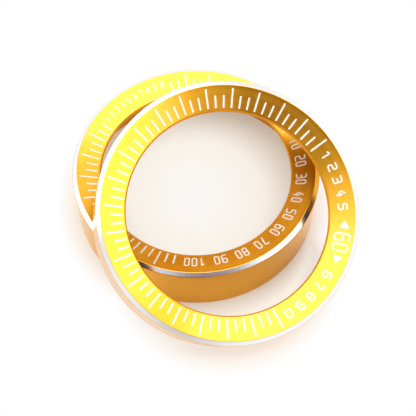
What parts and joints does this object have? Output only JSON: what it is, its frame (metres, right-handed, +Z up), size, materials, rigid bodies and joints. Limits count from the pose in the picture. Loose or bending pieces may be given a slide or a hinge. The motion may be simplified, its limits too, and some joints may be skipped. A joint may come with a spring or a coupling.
{
  "type": "instrument bezel ring pair",
  "caption": "Pair of turned aluminium trim rings with a dished, engraved scale face and a skirt that slips over a round gauge; one lies flat, one leans on it.",
  "frame": {"origin": "centre of the flat ring's open back, on the surface that both rings stand on", "axes": "+Z up, along the flat ring's axis from its open back to its face; the leaning ring faces mostly towards -Y"},
  "size_m": [0.1176, 0.1339, 0.0637],
  "materials": {
    "gold_anodised_aluminium": "satin gold anodising, with a bare diamond-cut band round the face",
    "white_enamel": "satin",
    "foam_tape": "matt"
  },
  "bodies": {
    "flat_ring": {"flat_ring": "gold_anodised_aluminium", "flat_ring_scale_ticks": "white_enamel", "flat_ring_numbers": "white_enamel", "flat_ring_small_numbers": "white_enamel", "flat_ring_mounting_tape": "foam_tape"},
    "leaning_ring": {"leaning_ring": "gold_anodised_aluminium", "leaning_ring_scale_ticks": "white_enamel", "leaning_ring_numbers": "white_enamel", "leaning_ring_large_number": "white_enamel", "leaning_ring_pointers": "white_enamel", "leaning_ring_mounting_tape": "foam_tape"}
  },
  "joints": [
    {"name": "leaning_ring_lift", "type": "slide", "parent": "flat_ring", "child": "leaning_ring", "axis": [0, 0, 1], "range_m": [0, 0.03]}
  ]
}
